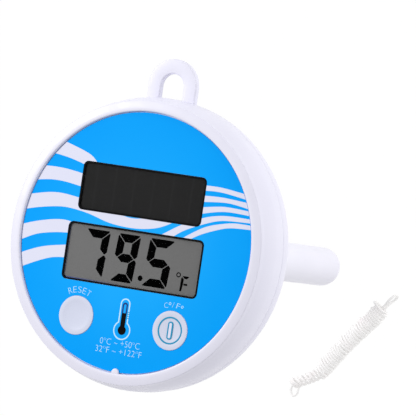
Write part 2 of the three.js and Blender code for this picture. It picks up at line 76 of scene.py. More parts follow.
bezel_low, bezel_high = node_box("front_bezel")
label_low, label_high = node_box("face_label")
rear_low, rear_high = node_box("rear_shell")
probe_low, probe_high = node_box("probe_tube")
hank_low, hank_high = node_box("tether_hank")
cell_low, cell_high = node_box("solar_cell")
glass_low, glass_high = node_box("lcd_glass")
button_low, button_high = node_box("unit_button")

LABEL_TOP = label_high.z
LABEL_BOTTOM = label_low.z
LABEL_R = label_high.x
BODY_R = bezel_high.x
RIM_TOP = bezel_high.z
RIM_INNER_R = LABEL_R + 0.3
RIM_FLAT_R = RIM_INNER_R + 1.3
CREASE_R = BODY_R - 1.8
CREASE_Z = RIM_TOP - 0.45
WIDEST_Z = 8                    # the side wall narrows above this
WALL = 2.2
LIP = 0.2                       # the shells meet a little inside the widest radius
LIP_ROUNDING = 0.12
SHELL_GAP = 0.3
SEAM = 0.12                     # what shows of the joint between the two shells
FIT = 0.1                       # clearance between stacked faces
PANEL_TOP = LABEL_BOTTOM - FIT
PANEL_BOTTOM = PANEL_TOP - 2
BEZEL_BOTTOM = bezel_low.z
EYELET_R = 10
EYELET_HOLE_R = 4.6
EYELET_CENTRE_Y = bezel_high.y - EYELET_R
EYELET_FRONT = 5.9
EYELET_THICKNESS = 2.6
EYELET_ROUNDING = 0.6
EYELET_SUNK = 1.7               # how far its legs reach into the side wall
PRINT = 0.03                    # height of ink above the label
INK_ROOT = 0.02                 # depth of ink in the label
FRAME_LINE = 0.6                # width of the black line around a window
FILM_TOP = LABEL_TOP - 0.5      # height of what shows behind each window
WINDOW_CORNER = 2
BUTTON_FLANGE = 1.25            # a cap's flange is this much wider than the cap
BUTTON_TOP = button_high.z
BUTTON_R = (button_high.x - button_low.x) / 2 - BUTTON_FLANGE
SEGMENTS = 192                  # facets around the housing


def window_size(frame_node):
    """Width, height and centre height of a window, from its black frame."""
    low, high = node_box(frame_node)
    return high.x - low.x, high.y - low.y, (high.y + low.y) / 2


def button_centre(node):
    """Where a button's axis crosses the face."""
    low, high = node_box(node)
    return (low.x + high.x) / 2, (low.y + high.y) / 2


SOLAR = window_size("solar_frame")
LCD = window_size("lcd_frame")
RESET = button_centre("reset_button")
UNIT = button_centre("unit_button")


# -------------------- camera

CAMERA_TARGET = Vector((18.7, 16.15, 0))
CAMERA_AZIMUTH = math.radians(90.25)
CAMERA_ELEVATION = math.radians(61.7)
CAMERA_ROLL = math.radians(-81.75)
CAMERA_DISTANCE = 1612.7
CAMERA_LENS = 389.4


def add_camera():
    data = bpy.data.cameras.new("camera")
    data.lens = CAMERA_LENS
    data.sensor_width = 36
    data.clip_start = 0.05
    data.clip_end = 20
    camera = add_object("camera", data)
    level = math.cos(CAMERA_ELEVATION)
    back_x = math.sin(CAMERA_AZIMUTH) * level
    back_y = -math.cos(CAMERA_AZIMUTH) * level
    back = Vector((back_x, back_y, math.sin(CAMERA_ELEVATION)))
    facing = (-back).to_track_quat("-Z", "Y").to_matrix()
    rolled = facing @ Matrix.Rotation(CAMERA_ROLL, 3, "Z")
    place = (CAMERA_TARGET + back * CAMERA_DISTANCE) * MM
    camera.matrix_world = Matrix.Translation(place) @ rolled.to_4x4()
    bpy.context.scene.camera = camera


# -------------------- outlines and meshes

def bend(start, control, end, steps):
    """Corners along a quadratic curve from after its start to its end."""
    corners = []
    for step in range(1, steps + 1):
        t = step / steps
        weights = ((1 - t) ** 2, 2 * t * (1 - t), t * t)
        x, y = (sum(w * p[axis] for w, p in zip(weights, (start, control, end))) for axis in (0, 1))
        corners.append((x, y, 0))
    return corners


def rounded(corners, steps=5):
    """Outline points through (x, y, radius) corners, each turned by an arc of its radius."""
    points = []
    for index, (x, y, radius) in enumerate(corners):
        here = Vector((x, y))
        if radius == 0:
            points.append(here)
            continue
        before = (Vector(corners[index - 1][:2]) - here).normalized()
        after = (Vector(corners[(index + 1) % len(corners)][:2]) - here).normalized()
        half = before.angle(after) / 2
        centre = here + (before + after).normalized() * radius / math.sin(half)
        start = here + before * radius / math.tan(half) - centre
        turn = start.angle_signed(here + after * radius / math.tan(half) - centre)
        for step in range(steps + 1):
            points.append(centre + Matrix.Rotation(-turn * step / steps, 2) @ start)
    return points


def circle_outline(radius, x=0, y=0, steps=64):
    angles = (2 * math.pi * step / steps for step in range(steps))
    return [Vector((x + radius * math.cos(a), y + radius * math.sin(a))) for a in angles]


def rectangle_outline(width, height, corner, x, y, steps=6):
    right, top = x + width / 2, y + height / 2
    left, low = x - width / 2, y - height / 2
    places = [(left, low), (right, low), (right, top), (left, top)]
    return rounded([(*place, corner) for place in places], steps)


def dome(half_width, top, steps=16):
    """A half circle that is highest at top and centred on x = 0, from its right to its left."""
    centre = top - half_width
    angles = (math.pi * step / steps for step in range(steps + 1))
    return [Vector((half_width * math.cos(a), centre + half_width * math.sin(a))) for a in angles]


def smooth_line(points, steps=6):
    """A Catmull-Rom curve through points, as outline points."""
    ends = [2 * Vector(points[0]) - Vector(points[1]), 2 * Vector(points[-1]) - Vector(points[-2])]
    knots = [ends[0], *map(Vector, points), ends[1]]
    line = []
    for a, b, c, d in zip(knots, knots[1:], knots[2:], knots[3:]):
        for step in range(steps):
            t = step / steps
            line.append(0.5 * (2 * b + (c - a) * t + (2 * a - 5 * b + 4 * c - d) * t * t
                               + (3 * b - a - 3 * c + d) * t ** 3))
    line.append(knots[-2])
    return line


def mesh_of(builder):
    """A mesh from a bmesh, with its faces turned outwards."""
    bmesh.ops.recalc_face_normals(builder, faces=builder.faces)
    mesh = bpy.data.meshes.new("mesh")
    builder.to_mesh(mesh)
    builder.free()
    return mesh


def bridge(builder, ring, following):
    """Faces from one closed ring of corners to the next. Either ring can be one repeated corner."""
    faces = []
    for step, corner in enumerate(ring):
        after = (step + 1) % len(ring)
        unique = list(dict.fromkeys([corner, ring[after], following[after], following[step]]))
        if len(unique) > 2:
            faces.append(builder.faces.new(unique))
    return faces


def turned(outline, segments=SEGMENTS, x=0, y=0):
    """A solid turned about a vertical axis at x, y from an outline of (radius, height) points."""
    builder = bmesh.new()
    on_axis = 1e-6
    rings = []
    for radius, height in outline:
        if radius < on_axis:
            rings.append([builder.verts.new((x, y, height))] * segments)
            continue
        circle = circle_outline(radius, x, y, segments)
        rings.append([builder.verts.new((*place, height)) for place in circle])
    for ring, following in zip(rings, rings[1:] + rings[:1]):
        bridge(builder, ring, following)
    return mesh_of(builder)


def prism(bottom, top, outer, *holes):
    """A flat solid between two heights with an outer outline and holes through it."""
    builder = bmesh.new()
    loops = [outer, *holes]
    low = [[builder.verts.new((x, y, bottom)) for x, y in loop] for loop in loops]
    high = [[builder.verts.new((x, y, top)) for x, y in loop] for loop in loops]
    for under, over in zip(low, high):
        bridge(builder, under, over)
    flat = [[Vector((x, y, 0)) for x, y in loop] for loop in loops]
    triangles = tessellate_polygon(flat)
    for side in (low, high):
        corners = [corner for loop in side for corner in loop]
        for triangle in triangles:
            builder.faces.new([corners[index] for index in triangle])
    return mesh_of(builder)


def joined(*meshes):
    """One mesh holding several separate bodies."""
    builder = bmesh.new()
    for mesh in meshes:
        builder.from_mesh(mesh)
        bpy.data.meshes.remove(mesh)
    return mesh_of(builder)


def placed(mesh, matrix):
    mesh.transform(matrix)
    return mesh


def add_object(name, data):
    item = bpy.data.objects.new(name, data)
    bpy.context.scene.collection.objects.link(item)
    return item


def carved(mesh, tools, operation="DIFFERENCE"):
    """The mesh after each tool is cut from it, joined to it or kept within it."""
    body = add_object("carved_body", mesh)
    cutters = [add_object("carving_tool", tool) for tool in tools]
    for cutter in cutters:
        modifier = body.modifiers.new("carve", "BOOLEAN")
        modifier.object = cutter
        modifier.operation = operation
        modifier.solver = "EXACT"
    graph = bpy.context.evaluated_depsgraph_get()
    result = bpy.data.meshes.new_from_object(body.evaluated_get(graph))
    for item in [body, *cutters]:
        bpy.data.objects.remove(item)
    return result


def add_piece(name, mesh, material, body="root", replaces=(), edge=0):
    """Puts a finished mesh in the scene, riding on its body, with softened edges if edge is set."""
    mesh.transform(Matrix.Scale(MM, 4))
    mesh.materials.clear()
    mesh.materials.append(material)
    mesh.shade_smooth()
    mesh.set_sharp_from_angle(angle=math.radians(32))
    piece = add_object(name, mesh)
    if edge:
        bevel = piece.modifiers.new("soft_edges", "BEVEL")
        bevel.width = edge * MM
        bevel.segments = 3
        bevel.limit_method = "ANGLE"
        bevel.angle_limit = math.radians(40)
    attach(piece, body)
    if replaces:
        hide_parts(*replaces)
    return piece


# -------------------- materials

def linear(hex_colour):
    """A '#rrggbb' screen colour as linear light, with alpha."""
    screen = [int(hex_colour[i:i + 2], 16) / 255 for i in (1, 3, 5)]
    return [c / 12.92 if c <= 0.04045 else ((c + 0.055) / 1.055) ** 2.4 for c in screen] + [1]


class Finish:
    """A material whose colour, roughness and fine relief vary over the surface."""

    def __init__(self, name, roughness, **sockets):
        self.material = bpy.data.materials.new(name)
        self.material.use_nodes = True
        self.tree = self.material.node_tree
        self.shader = self.tree.nodes["Principled BSDF"]
        self.shader.inputs["Roughness"].default_value = roughness
        for socket, value in sockets.items():
            self.shader.inputs[socket.replace("_", " ")].default_value = value
        self.where = self.node("ShaderNodeTexCoord").outputs["Object"]

    def node(self, kind, **settings):
        made = self.tree.nodes.new(kind)
        for setting, value in settings.items():
            setattr(made, setting, value)
        return made

    def link(self, output, socket):
        self.tree.links.new(output, socket)

    def noise(self, scale, detail=3, stretch=None):
        """Soft noise from 0 to 1, with about scale features to a metre."""
        source = self.where
        if stretch:
            mapping = self.node("ShaderNodeMapping")
            mapping.inputs["Scale"].default_value = stretch
            self.link(source, mapping.inputs["Vector"])
            source = mapping.outputs["Vector"]
        texture = self.node("ShaderNodeTexNoise")
        texture.inputs["Scale"].default_value = scale
        texture.inputs["Detail"].default_value = detail
        self.link(source, texture.inputs["Vector"])
        return texture.outputs["Fac"]

    def blend(self, amount, first, second):
        """A colour between two, by an amount from 0 to 1."""
        mix = self.node("ShaderNodeMix", data_type="RGBA")
        self.link(amount, mix.inputs["Factor"])
        for value, socket in ((first, mix.inputs["A"]), (second, mix.inputs["B"])):
            if isinstance(value, str):
                socket.default_value = linear(value)
            else:
                self.link(value, socket)
        return mix.outputs["Result"]

    def span(self, value, low, high, out_low=0, out_high=1):
        """The value carried from one range to another, held at the ends."""
        ranged = self.node("ShaderNodeMapRange", interpolation_type="SMOOTHSTEP")
        limits = {"From Min": low, "From Max": high, "To Min": out_low, "To Max": out_high}
        for socket, limit in limits.items():
            ranged.inputs[socket].default_value = limit
        self.link(value, ranged.inputs["Value"])
        return ranged.outputs["Result"]

    def combine(self, operation, first, second):
        """One number from two, such as their product or the larger of them."""
        made = self.node("ShaderNodeMath", operation=operation)
        self.link(first, made.inputs[0])
        self.link(second, made.inputs[1])
        return made.outputs["Value"]

    def colour(self, value):
        self.link(value, self.shader.inputs["Base Color"])

    def mottled(self, first, second, scale=60):
        self.colour(self.blend(self.noise(scale), first, second))

    def uneven_gloss(self, low, high):
        self.link(self.span(self.noise(180), 0.3, 0.7, low, high), self.shader.inputs["Roughness"])

    def relief(self, height, strength, distance):
        """Fine bumps: distance is their depth in metres."""
        bump = self.node("ShaderNodeBump")
        bump.inputs["Strength"].default_value = strength
        bump.inputs["Distance"].default_value = distance
        self.link(height, bump.inputs["Height"])
        self.link(bump.outputs["Normal"], self.shader.inputs["Normal"])


def moulded(name, first, second, roughness, depth=4e-6, **sockets):
    """Moulded plastic, rubber or ink: faint mottling, uneven gloss and a fine grain."""
    spread = 0.06
    grain = 2600
    finish = Finish(name, roughness, **sockets)
    finish.mottled(first, second)
    finish.uneven_gloss(roughness - spread, roughness + spread)
    finish.relief(finish.noise(grain, 2), 0.35, depth)
    return finish.material


def label_ink():
    """Satin blue print with a painted sheen, a little lighter at the middle of the face and darker
    towards the rim.
    """
    finish = Finish("label_blue", 0.4, Specular_IOR_Level=0.03)
    distance = finish.node("ShaderNodeVectorMath", operation="LENGTH")
    finish.link(finish.where, distance.inputs[0])
    # Painted sheen: the blue runs from light at the middle of the face to darker towards the rim.
    outward = finish.span(distance.outputs["Value"], 0.018, 0.05)
    painted_sheen = finish.blend(outward, "#1cacfe", "#009ff9")
    finish.colour(finish.blend(finish.span(finish.noise(45), 0.3, 0.7, 0, 0.5), painted_sheen, "#06a3fa"))
    finish.uneven_gloss(0.36, 0.46)
    finish.relief(finish.noise(3000, 2), 0.25, 3e-6)
    return finish.material


def solar_film():
    """Dark amorphous cell with hairline scribed strips."""
    finish = Finish("solar_film", 0.4, Specular_IOR_Level=0.06)
    strips = finish.node("ShaderNodeTexWave", wave_type="BANDS", bands_direction="X")
    strips.inputs["Scale"].default_value = 40
    finish.link(finish.where, strips.inputs["Vector"])
    lines = finish.span(strips.outputs["Fac"], 0.985, 1)
    body = finish.blend(finish.noise(70), "#212122", "#262626")
    finish.colour(finish.blend(lines, body, "#2a2a2b"))
    finish.uneven_gloss(0.35, 0.45)
    return finish.material


def lcd_film():
    """Grey reflective display with a painted blue reflection along the left and lower edges."""
    finish = Finish("lcd_film", 0.5, Specular_IOR_Level=0.15)
    split = finish.node("ShaderNodeSeparateXYZ")
    finish.link(finish.where, split.inputs["Vector"])
    left = -LCD[0] / 2 * MM
    low = (LCD[2] - LCD[1] / 2) * MM
    # Painted reflection: a blue tint beside the left edge and along the lower edge, fading towards the
    # right.
    reflection_beside = finish.span(split.outputs["X"], left - 0.1 * MM, left + 1.1 * MM, 1, 0)
    below = finish.span(split.outputs["Y"], low + 0.5 * MM, low + 1.2 * MM, 1, 0)
    reflection_fading = finish.span(split.outputs["X"], left, 0, 0.8, 0)
    edge = finish.combine("MAXIMUM", reflection_beside, finish.combine("MULTIPLY", below, reflection_fading))
    across = finish.span(split.outputs["X"], left, -left)
    grey = finish.blend(across, "#7c7c7c", "#747474")
    grain = finish.blend(finish.noise(4000, 1), "#747474", "#7d7d7d")
    even_mix = finish.node("ShaderNodeMix", data_type="RGBA")
    finish.link(grey, even_mix.inputs["A"])
    finish.link(grain, even_mix.inputs["B"])
    # The painted blue reflection is laid over the grey where the edge mask is high.
    finish.colour(finish.blend(edge, even_mix.outputs["Result"], "#2f55b4"))
    finish.uneven_gloss(0.45, 0.55)
    return finish.material


def clear_pane():
    """A thin smoked pane that lets nearly all light through."""
    finish = Finish("clear_pane", 0.08, Alpha=0.06, Specular_IOR_Level=0.01)
    finish.mottled("#0c0d0e", "#101112", 40)
    finish.uneven_gloss(0.05, 0.12)
    finish.material.surface_render_method = "BLENDED"
    return finish.material


def brushed_metal(name, first, second, roughness):
    """Metal with fine streaks in its colour, gloss and relief."""
    finish = Finish(name, roughness, Metallic=1)
    streaks = finish.noise(900, 2, (1, 1, 0.08))
    finish.colour(finish.blend(streaks, first, second))
    gloss = finish.span(streaks, 0.3, 0.7, roughness - 0.08, roughness + 0.1)
    finish.link(gloss, finish.shader.inputs["Roughness"])
    finish.relief(streaks, 0.3, 5e-6)
    return finish.material


def circuit_board():
    """Green solder mask over faint copper tracks."""
    finish = Finish("circuit_board", 0.4)
    cells = finish.node("ShaderNodeTexVoronoi", feature="DISTANCE_TO_EDGE", distance="MANHATTAN")
    cells.inputs["Scale"].default_value = 170
    finish.link(finish.where, cells.inputs["Vector"])
    tracks = finish.span(cells.outputs["Distance"], 0.04, 0.09)
    mask = finish.blend(finish.noise(120), "#1b6139", "#237344")
    finish.colour(finish.blend(tracks, "#2f8a55", mask))
    finish.relief(tracks, 0.4, 2e-5)
    return finish.material


def braided_nylon():
    """White braid: two sets of strands that cross around the cord, with painted shade where the braid
    dips and a faint painted glow.
    """
    # The cord glows faintly white all over: painted light that lifts its shaded gaps.
    finish = Finish("white_cord", 0.6, Specular_IOR_Level=0.2, Emission_Strength=0.24)
    finish.shader.inputs["Emission Color"].default_value = (1, 1, 1, 1)
    around = finish.node("ShaderNodeUVMap", uv_map="braid")
    heights = []
    for direction in (1, -1):
        mapping = finish.node("ShaderNodeMapping")
        mapping.inputs["Rotation"].default_value = (0, 0, direction * math.pi / 4)
        finish.link(around.outputs["UV"], mapping.inputs["Vector"])
        wave = finish.node("ShaderNodeTexWave", wave_type="BANDS", bands_direction="X")
        wave.inputs["Scale"].default_value = 1
        finish.link(mapping.outputs["Vector"], wave.inputs["Vector"])
        heights.append(wave.outputs["Fac"])
    braid = finish.combine("MAXIMUM", *heights)
    # Painted shade: the braid's colour is darker where the strands dip between crossings.
    strand = finish.blend(finish.span(braid, 0.4, 1), "#d6d4d3", "#e6e5e4")
    warm_patches = finish.span(finish.noise(140), 0.45, 0.75, 0, 0.4)
    finish.colour(finish.blend(warm_patches, strand, "#e4dadb"))
    finish.uneven_gloss(0.5, 0.7)
    finish.relief(braid, 0.7, 6e-5)
    return finish.material


shell_white = moulded("shell_white", "#dfdeed", "#e5e4f2", 0.38)
probe_white = moulded("probe_white", "#e8e7f3", "#edecf7", 0.4)
key_white = moulded("key_white", "#ccd1e5", "#d2d6e9", 0.42, Specular_IOR_Level=0.3)
inner_white = moulded("inner_white", "#dcdce2", "#e6e6ea", 0.5)
black_gloss = moulded("black_gloss", "#060607", "#0a0a0c", 0.55, Specular_IOR_Level=0.05)
black_matt = moulded("black_matt", "#111113", "#19191c", 0.6, depth=1.2e-5)
rubber_grey = moulded("rubber_grey", "#5f6367", "#70757a", 0.8, depth=1e-5)
epoxy_black = moulded("epoxy_black", "#101011", "#1c1c1e", 0.35, depth=1e-5)
pvc_red = moulded("pvc_red", "#a4211a", "#b92c22", 0.45)
pvc_black = moulded("pvc_black", "#121214", "#1b1b1e", 0.45)
white_ink = moulded("white_ink", "#dadcf0", "#dfe0f2", 0.45, Specular_IOR_Level=0.2)
pale_ink = moulded("pale_ink", "#b4e1fc", "#c2e8fd", 0.45, Specular_IOR_Level=0.3)
navy_ink = moulded("navy_ink", "#00266e", "#00307e", 0.5, Specular_IOR_Level=0.2)
black_ink = moulded("black_ink", "#020203", "#060608", 0.6, Specular_IOR_Level=0.05)
teal_ink = moulded("teal_ink", "#078ab4", "#0d94c0", 0.5, Specular_IOR_Level=0.2)
lcd_black = moulded("lcd_black", "#020202", "#050505", 0.6, Specular_IOR_Level=0)
label_blue = label_ink()
solar_dark = solar_film()
lcd_grey = lcd_film()
pane_clear = clear_pane()
steel = brushed_metal("steel", "#9fa1a4", "#b4b6b9", 0.34)
foil = brushed_metal("silver_foil", "#c0c4c7", "#d0d3d6", 0.4)
board_green = circuit_board()
cord_white = braided_nylon()


# -------------------- tether cord

CORD_D = 1.0
HANK_ANGLE = math.radians(51)
HANK_HALF_WIDTH = 4
HANK_END = 28.4                 # places along the hank are measured from its middle
HANK_HEIGHT = hank_high.z - hank_low.z
BODY_START = -15
BODY_END = 21.5
TAIL_END = -25.4
CORE_R = 0.62                   # from the middle to each of the straight runs inside
INNER_R = 2.0                   # the first, open wraps over the body
INNER_TAIL_R = 1.72
OUTER_R = 2.85                  # the close wraps over the body
OUTER_TAIL_R = 2.25
OUTER_WIDTH = 3.0               # the close wraps are a little wider than they are tall
STRAND_FLOOR = CORD_D / 2 - HANK_HEIGHT / 2     # height of a strand that lies below the hank


def hank_axis(along):
    """The middle of the hank at a distance along it: it bows, and its tail bends aside and sinks."""
    tail = max(0.0, BODY_START - along)
    bow = 0.25 * math.sin(along * 0.22 + 1.2)
    aside = 0.48 * tail * tail / (tail + 3.5)
    sink = 0.8 * tail / (tail + 3)
    return Vector((along, bow + aside, -sink))


def core_run(first, last, angle):
    """A straight run inside the hank, as points about 3 mm apart."""
    offset = Vector((0, CORE_R * math.cos(angle), CORE_R * math.sin(angle)))
    steps = round(abs(last - first) / 3)
    return [hank_axis(first + (last - first) * step / steps) + offset for step in range(steps + 1)]


def core():
    """Three runs through the middle, folded into a loop past the body and a curl past the tail."""
    points = core_run(-9, BODY_END - 1, math.radians(210))
    points += [
        Vector((BODY_END + 2.2, -0.2, -1.3)),
        Vector((BODY_END + 4.3, -0.2, STRAND_FLOOR + 0.2)),
        Vector((BODY_END + 6.2, -0.2, STRAND_FLOOR + 0.3)),
        Vector((HANK_END - 0.1, -0.1, STRAND_FLOOR + 1.2)),
        Vector((HANK_END + 0.1, 0, STRAND_FLOOR + 2.6)),
        Vector((HANK_END - 1.2, 0.1, STRAND_FLOOR + 3.8)),
        Vector((BODY_END + 3.2, 0, STRAND_FLOOR + 4.0)),
        Vector((BODY_END + 1, 0, 0.4)),
    ]
    points += core_run(BODY_END - 2, -23, math.radians(330))
    points += [
        Vector((-26.2, 4.7, -1.7)),
        Vector((-28.2, 4.9, -2.2)),
        Vector((-29.9, 4.2, -2.5)),
        Vector((-30.9, 2.8, -2.6)),
        Vector((-30.6, 1.5, -2.6)),
        Vector((-29.2, 1.0, -2.5)),
        Vector((-27.6, 1.8, -2.3)),
        Vector((-25.4, 3.1, -2.0)),
    ]
    return points + core_run(-21.5, BODY_END - 10, math.radians(90))


def wobble(turn, seed):
    """A slow irregular wave from 0 to 1."""
    waves = ((0.173, 1), (0.271, 2.3), (0.119, -1))
    return 0.5 + sum(math.sin(turn * rate + shift * seed) for rate, shift in waves) / 6


def wraps():
    """Open wraps from inside the body down over the tail, then close ones back over all of it."""
    points = []
    steps = 16                  # to each turn
    along = BODY_END - 7.5
    turn = math.pi / 2
    pitch = 14.0                # almost straight at first; it and the radius ease to their goals
    radius = CORE_R
    returning = False
    while along < BODY_END - 0.6 or not returning:
        in_tail = along < BODY_START
        if returning:
            pitch_goal = 1.8 if in_tail else 0.94 + 0.32 * wobble(turn, 2.9)
            radius_goal = OUTER_TAIL_R if in_tail else OUTER_R
        else:
            pitch_goal = -4.6
            radius_goal = INNER_TAIL_R if in_tail else INNER_R
        pitch += (pitch_goal - pitch) * 0.12
        radius += (radius_goal - radius) * 0.18
        outermost = 1.0 if returning and not in_tail else 0.0
        stray = outermost * 1.5 * max(0, math.sin(turn * 0.37) * math.sin(turn * 0.83 + 1)) ** 2
        last_loop = outermost * 1.7 * math.exp(-((along - BODY_END + 1.2) / 0.5) ** 2)
        reach = radius + outermost * (OUTER_WIDTH - OUTER_R + 0.3 * wobble(turn, 1.7) - 0.15)
        reach += (stray + last_loop) * max(0, math.cos(turn)) ** 2
        lean = outermost * (1.5 * wobble(turn, 0.6) - 0.15) * math.cos(turn)
        offset = Vector((lean, reach * math.cos(turn), radius * math.sin(turn)))
        points.append(hank_axis(along) + offset)
        turn += 2 * math.pi / steps
        along += pitch / steps
        returning = returning or along < TAIL_END
    return points


def evenly(points, spacing):
    """Points at an even spacing along a fine route."""
    even = [points[0]]
    for point in points[1:]:
        while (point - even[-1]).length >= spacing:
            even.append(even[-1] + (point - even[-1]).normalized() * spacing)
    return even


def relaxed(points, passes):
    """A route whose sharpest turns are eased by drawing each point towards its neighbours."""
    for _ in range(passes):
        inner = [(a + 2 * b + c) / 4 for a, b, c in zip(points, points[1:], points[2:])]
        points = [points[0], *inner, points[-1]]
    return points


def cord_route():
    """The whole cord's route in the frame, in millimetres."""
    along_x = HANK_HALF_WIDTH + (HANK_END - HANK_HALF_WIDTH) * math.cos(HANK_ANGLE)
    along_y = HANK_HALF_WIDTH + (HANK_END - HANK_HALF_WIDTH) * math.sin(HANK_ANGLE)
    middle = Vector((hank_high.x - along_x, hank_high.y - along_y, hank_low.z + HANK_HEIGHT / 2))
    turn = Matrix.Rotation(HANK_ANGLE, 3, "Z")
    fine = smooth_line(core() + wraps(), 5)
    local = evenly(relaxed(evenly(fine, 0.45), 5), 0.6)
    return [middle + turn @ point for point in local]


def tube(route, radius):
    """A round cord along a route, with a uv map that counts its strands and its radii along it."""
    builder = bmesh.new()
    braid = builder.loops.layers.uv.new("braid")
    sides = 10
    strands = 6
    side_way = Vector((0, 0, 1))
    rings = []
    lengths = [0.0]
    for before, here in zip(route, route[1:]):
        lengths.append(lengths[-1] + (here - before).length)
    for index, here in enumerate(route):
        ahead = route[min(index + 1, len(route) - 1)] - route[max(index - 1, 0)]
        ahead.normalize()
        side_way = (side_way - ahead * side_way.dot(ahead)).normalized()
        other = ahead.cross(side_way)
        corners = []
        for step in range(sides):
            angle = 2 * math.pi * step / sides
            outward = math.cos(angle) * side_way + math.sin(angle) * other
            corners.append(builder.verts.new(here + radius * outward))
        rings.append(corners)
    for index, (ring, following) in enumerate(zip(rings, rings[1:])):
        for step, face in enumerate(bridge(builder, ring, following)):
            marks = [(step, index), (step + 1, index), (step + 1, index + 1), (step, index + 1)]
            for loop, (turn, along) in zip(face.loops, marks):
                loop[braid].uv = (turn / sides * strands, lengths[along] / radius)
    for ring, end, inner in ((rings[0], route[0], route[1]), (rings[-1], route[-1], route[-2])):
        tip = builder.verts.new(end + (end - inner).normalized() * radius * 0.5)
        bridge(builder, ring, [tip] * sides)
    return mesh_of(builder)


def add_cord():
    route = cord_route()
    mesh = tube(route, CORD_D / 2)
    cord = add_piece("tether_cord", mesh, cord_white, replaces=["tether_hank"])


# -------------------- housing

def window_outline(window, grow=0.0, corner=WINDOW_CORNER):
    width, height, y = window
    return rectangle_outline(width + 2 * grow, height + 2 * grow, corner, 0, y)


def bezel_profile():
    """Half of the upper shell's section: the panel below the label, the rim and the side wall."""
    flat_edge = (RIM_FLAT_R, RIM_TOP)
    crease = (CREASE_R, CREASE_Z)
    wall_top = (CREASE_R + 0.3, CREASE_Z - 1.5)
    widest = (BODY_R, WIDEST_Z)
    inner_r = BODY_R - WALL
    inner_edge = (inner_r, WIDEST_Z)
    return rounded([
        (0, PANEL_TOP, 0),
        (RIM_INNER_R, PANEL_TOP, 0),
        (RIM_INNER_R + 0.1, RIM_TOP, 0.55),
        (*flat_edge, 0),
        *bend(flat_edge, (CREASE_R - 1.4, RIM_TOP - 0.1), crease, 10)[:-2],
        (*crease, 0.4),
        (*wall_top, 4),
        *bend(wall_top, (BODY_R - 0.2, WIDEST_Z + 3), widest, 10),
        (BODY_R, BEZEL_BOTTOM + 1, 0),
        (BODY_R - LIP, BEZEL_BOTTOM, LIP_ROUNDING),
        (inner_r, BEZEL_BOTTOM, LIP_ROUNDING),
        (*inner_edge, 0),
        *bend(inner_edge, (inner_r, PANEL_BOTTOM - 1), (47.4, PANEL_BOTTOM), 6),
        (0, PANEL_BOTTOM, 0),
    ])


def eyelet():
    """A loop swept with a rounded section, its legs sunk into the side wall."""
    leg_end = BODY_R - EYELET_SUNK
    middle = (EYELET_R + EYELET_HOLE_R) / 2
    right_leg = [Vector((middle, leg_end)), Vector((middle, (leg_end + EYELET_CENTRE_Y) / 2))]
    left_leg = [Vector((-point.x, point.y)) for point in reversed(right_leg)]
    path = right_leg + dome(middle, EYELET_CENTRE_Y + middle, 40) + left_leg
    height = EYELET_FRONT - EYELET_THICKNESS / 2
    section = rectangle_outline(EYELET_R - EYELET_HOLE_R, EYELET_THICKNESS, EYELET_ROUNDING, 0, height)
    builder = bmesh.new()
    rings = []
    for index, point in enumerate(path):
        ahead = (path[min(index + 1, len(path) - 1)] - path[max(index - 1, 0)]).normalized()
        outward = Vector((ahead.y, -ahead.x))
        rings.append([builder.verts.new((*(point + outward * across), up)) for across, up in section])
    for ring, following in zip(rings, rings[1:]):
        bridge(builder, ring, following)
    builder.faces.new(rings[0])
    builder.faces.new(rings[-1])
    return mesh_of(builder)


def rim_key():
    """The half-round key on the rim that the label is lined up with."""
    radius = 1.5
    low = LABEL_TOP + FIT
    top = RIM_TOP - 0.2
    outline = rounded([(0, low, 0), (radius, low, 0), (radius, top, 0.4), (0, top, 0)])
    return turned(outline, 32, 0, 0.2 - RIM_INNER_R)


def add_bezel():
    """The upper shell, with a stepped opening for each window and a round one for each button."""
    button_hole = BUTTON_R + SHELL_GAP
    pocket_floor = LABEL_TOP - 0.9
    pocket_gap = 0.15
    ledge = 0.8
    above = RIM_TOP + 2
    below = PANEL_BOTTOM - 1
    holes = []
    for window in (SOLAR, LCD):
        holes.append(prism(pocket_floor, above, window_outline(window, pocket_gap)))
        holes.append(prism(below, pocket_floor + 0.5, window_outline(window, -ledge, 1.2)))
    for x, y in (RESET, UNIT):
        holes.append(prism(below, above, circle_outline(button_hole, x, y)))
    shell = carved(turned(bezel_profile()), [eyelet(), rim_key()], "UNION")
    add_piece("bezel", carved(shell, holes), shell_white, replaces=["front_bezel"])


def add_rear_shell():
    """The lower bowl: a grooved spigot inside the bezel, and a neck that holds the probe."""
    rear_top = BEZEL_BOTTOM - SEAM
    rim_r = BODY_R - LIP
    spigot_r = BODY_R - WALL - SHELL_GAP
    spigot_inner_r = spigot_r - 2.2
    spigot_top = rear_high.z
    groove_r = spigot_r - 1.4
    groove_top = spigot_top - 0.9
    groove_bottom = spigot_top - 2.5
    neck_bore = 7.9
    rim = (rim_r, rear_top - 0.3)
    bowl_edge = (48, -7.5)
    shoulder = (24, -14.6)
    neck = (9.7, -17.5)
    inner_neck = (neck_bore, -13)
    inner_edge = (bowl_edge[0] - 1.6, bowl_edge[1] + 1.8)
    spigot_foot = (spigot_inner_r, rear_top - 1)
    profile = rounded([
        (spigot_r, spigot_top, 0.3),
        (spigot_r, groove_top, 0),
        (groove_r, groove_top, 0),
        (groove_r, groove_bottom, 0),
        (spigot_r, groove_bottom, 0),
        (spigot_r, rear_top, 0),
        (rim_r, rear_top, LIP_ROUNDING),
        (*rim, 0),
        *bend(rim, (rim_r, -4.6), bowl_edge, 12),
        *bend(bowl_edge, (41, -12.4), shoulder, 12),
        *bend(shoulder, (11, -16), neck, 8),
        (neck[0], rear_low.z, 0.5),
        (neck_bore, rear_low.z, 0.2),
        (*inner_neck, 0),
        *bend(inner_neck, (40.5, -10.6), inner_edge, 10),
        *bend(inner_edge, (spigot_inner_r, -3.4), spigot_foot, 6),
        (spigot_inner_r, spigot_top, 0.3),
    ])
    add_piece("rear_bowl", turned(profile), shell_white, replaces=["rear_shell"])


